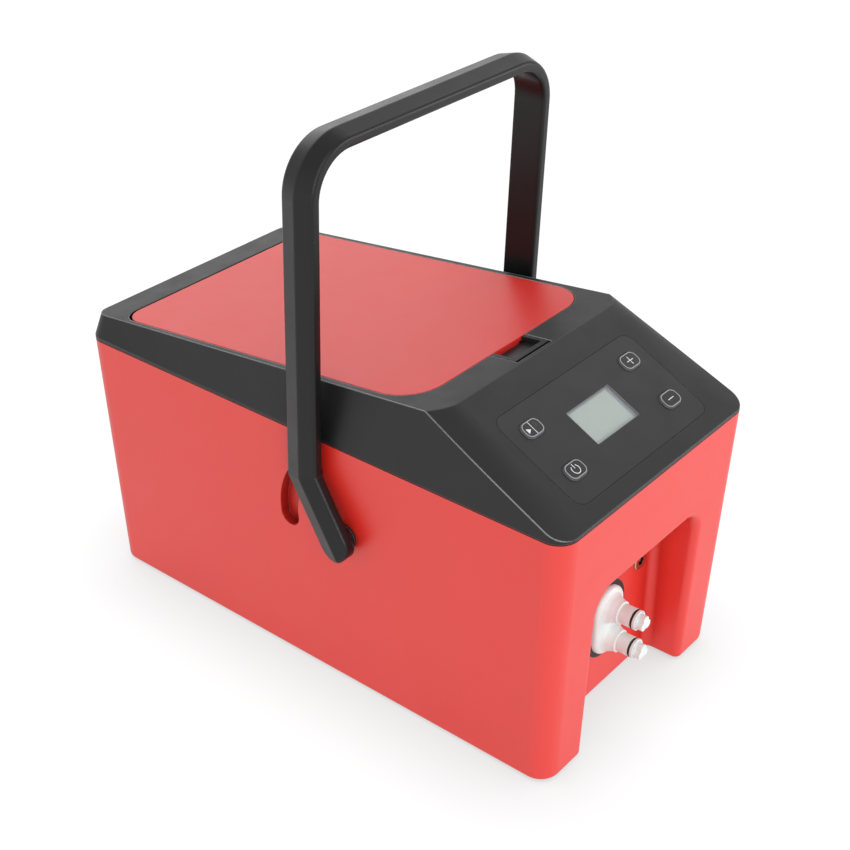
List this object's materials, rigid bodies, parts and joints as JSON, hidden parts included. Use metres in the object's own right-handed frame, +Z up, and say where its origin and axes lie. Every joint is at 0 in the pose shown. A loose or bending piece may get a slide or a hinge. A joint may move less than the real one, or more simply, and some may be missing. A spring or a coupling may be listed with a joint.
{
  "type": "hot cold therapy machine",
  "caption": "Portable hot and cold therapy unit: insulated tank with hinged lid, sloped keypad with display, folding carry bail and two quick hose couplings in a front arch",
  "frame": {"origin": "on the floor under the middle of the case", "axes": "X across the width, +Y towards the rear, -Y the side with the controls, +Z up"},
  "size_m": [0.2272, 0.39, 0.3748],
  "materials": {
    "red_shell": "satin moulded plastic, fine texture",
    "red_lid": "satin moulded plastic, fine texture",
    "charcoal_plastic": "fine-grained moulded plastic",
    "charcoal_handle": "smooth moulded plastic with soft sheen",
    "dark_plastic": "plain moulded plastic",
    "overlay_film": "fine matt polyester film",
    "display_glass": "grey-green display behind clear window",
    "white_plastic": "white moulded acetal",
    "pale_plastic": "smooth pale food-grade plastic",
    "white_foam": "closed-cell foam",
    "black_rubber": "matt rubber",
    "black_lead": "insulated lead",
    "silicone_hose": "milky silicone hose",
    "circuit_board": "green solder mask",
    "steel_pin": "bright steel",
    "zinc_screw": "zinc-plated steel",
    "nickel": "bright nickel",
    "motor_can": "plated steel can"
  },
  "bodies": {
    "case": {"outer_shell": "red_shell", "base_plate": "dark_plastic", "base_screws": "zinc_screw", "rubber_feet": "black_rubber", "top_cover": "charcoal_plastic", "cover_screws": "zinc_screw", "hinge_pins": "steel_pin", "latch_housing": "dark_plastic", "inner_tank": "pale_plastic", "foam_jacket": "white_foam", "tank_gasket": "black_rubber", "intake_strainer": "pale_plastic", "temperature_probe": "steel_pin", "panel_overlay": "overlay_film", "display_window": "display_glass", "lcd_module": "display_glass", "lcd_frame": "dark_plastic", "control_board": "circuit_board", "tact_switches": "dark_plastic", "board_screws": "zinc_screw", "driver_board": "circuit_board", "wiring": "black_lead", "coupling_bezel": "dark_plastic", "coupling_plate": "white_plastic", "supply_coupling": "white_plastic", "return_coupling": "white_plastic", "coupling_o_rings": "black_rubber", "dc_jack": "nickel", "dc_jack_nut": "nickel", "pump_motor": "motor_can", "pump_head": "dark_plastic", "pump_cover": "dark_plastic", "pump_bracket": "black_rubber", "supply_hose": "silicone_hose", "return_hose": "silicone_hose", "intake_hose": "silicone_hose", "hose_clips": "zinc_screw", "pivot_bushes": "dark_plastic"},
    "lid": {"lid_panel": "red_lid", "lid_liner": "pale_plastic", "lid_foam": "white_foam", "lid_gasket": "black_rubber"},
    "latch": {"latch_slider": "charcoal_plastic", "latch_spring": "steel_pin"},
    "bail": {"handle_bail": "charcoal_handle", "pivot_pins": "steel_pin", "pivot_retainers": "zinc_screw", "guide_pegs": "dark_plastic"},
    "play_key": {"play_button": "overlay_film"},
    "power_key": {"power_button": "overlay_film"},
    "plus_key": {"plus_button": "overlay_film"},
    "minus_key": {"minus_button": "overlay_film"},
    "supply_valve": {"supply_poppet": "white_plastic", "supply_spring": "steel_pin"},
    "return_valve": {"return_poppet": "white_plastic", "return_spring": "steel_pin"},
    "impeller": {"pump_impeller": "pale_plastic", "pump_shaft": "steel_pin"}
  },
  "joints": [
    {"name": "lid_hinge", "type": "hinge", "parent": "case", "child": "lid", "pos_m": [0, 0.16494, 0.19685], "axis": [-1, 0, 0], "range_deg": [0, 32]},
    {"name": "latch_slide", "type": "slide", "parent": "case", "child": "latch", "axis": [0, -0.9939, 0.1105], "range_m": [0, 0.002], "stiffness_N_per_m": 300, "springref_m": -0.003},
    {"name": "bail_hinge", "type": "hinge", "parent": "case", "child": "bail", "pos_m": [0, -0.0343, 0.1197], "axis": [-1, 0, 0], "range_deg": [0, 65]},
    {"name": "play_press", "type": "slide", "parent": "case", "child": "play_key", "axis": [0, 0.4554, -0.8903], "range_m": [0, 0.0006], "stiffness_N_per_m": 1200, "springref_m": -0.0005},
    {"name": "power_press", "type": "slide", "parent": "case", "child": "power_key", "axis": [0, 0.4554, -0.8903], "range_m": [0, 0.0006], "stiffness_N_per_m": 1200, "springref_m": -0.0005},
    {"name": "plus_press", "type": "slide", "parent": "case", "child": "plus_key", "axis": [0, 0.4554, -0.8903], "range_m": [0, 0.0006], "stiffness_N_per_m": 1200, "springref_m": -0.0005},
    {"name": "minus_press", "type": "slide", "parent": "case", "child": "minus_key", "axis": [0, 0.4554, -0.8903], "range_m": [0, 0.0006], "stiffness_N_per_m": 1200, "springref_m": -0.0005},
    {"name": "supply_valve_slide", "type": "slide", "parent": "case", "child": "supply_valve", "axis": [0, 1, 0], "range_m": [0, 0.0015], "stiffness_N_per_m": 500, "springref_m": -0.003},
    {"name": "return_valve_slide", "type": "slide", "parent": "case", "child": "return_valve", "axis": [0, 1, 0], "range_m": [0, 0.0015], "stiffness_N_per_m": 500, "springref_m": -0.003},
    {"name": "impeller_spin", "type": "hinge", "parent": "case", "child": "impeller", "pos_m": [-0.048, -0.128, 0.034], "axis": [1, 0, 0], "continuous": true}
  ]
}
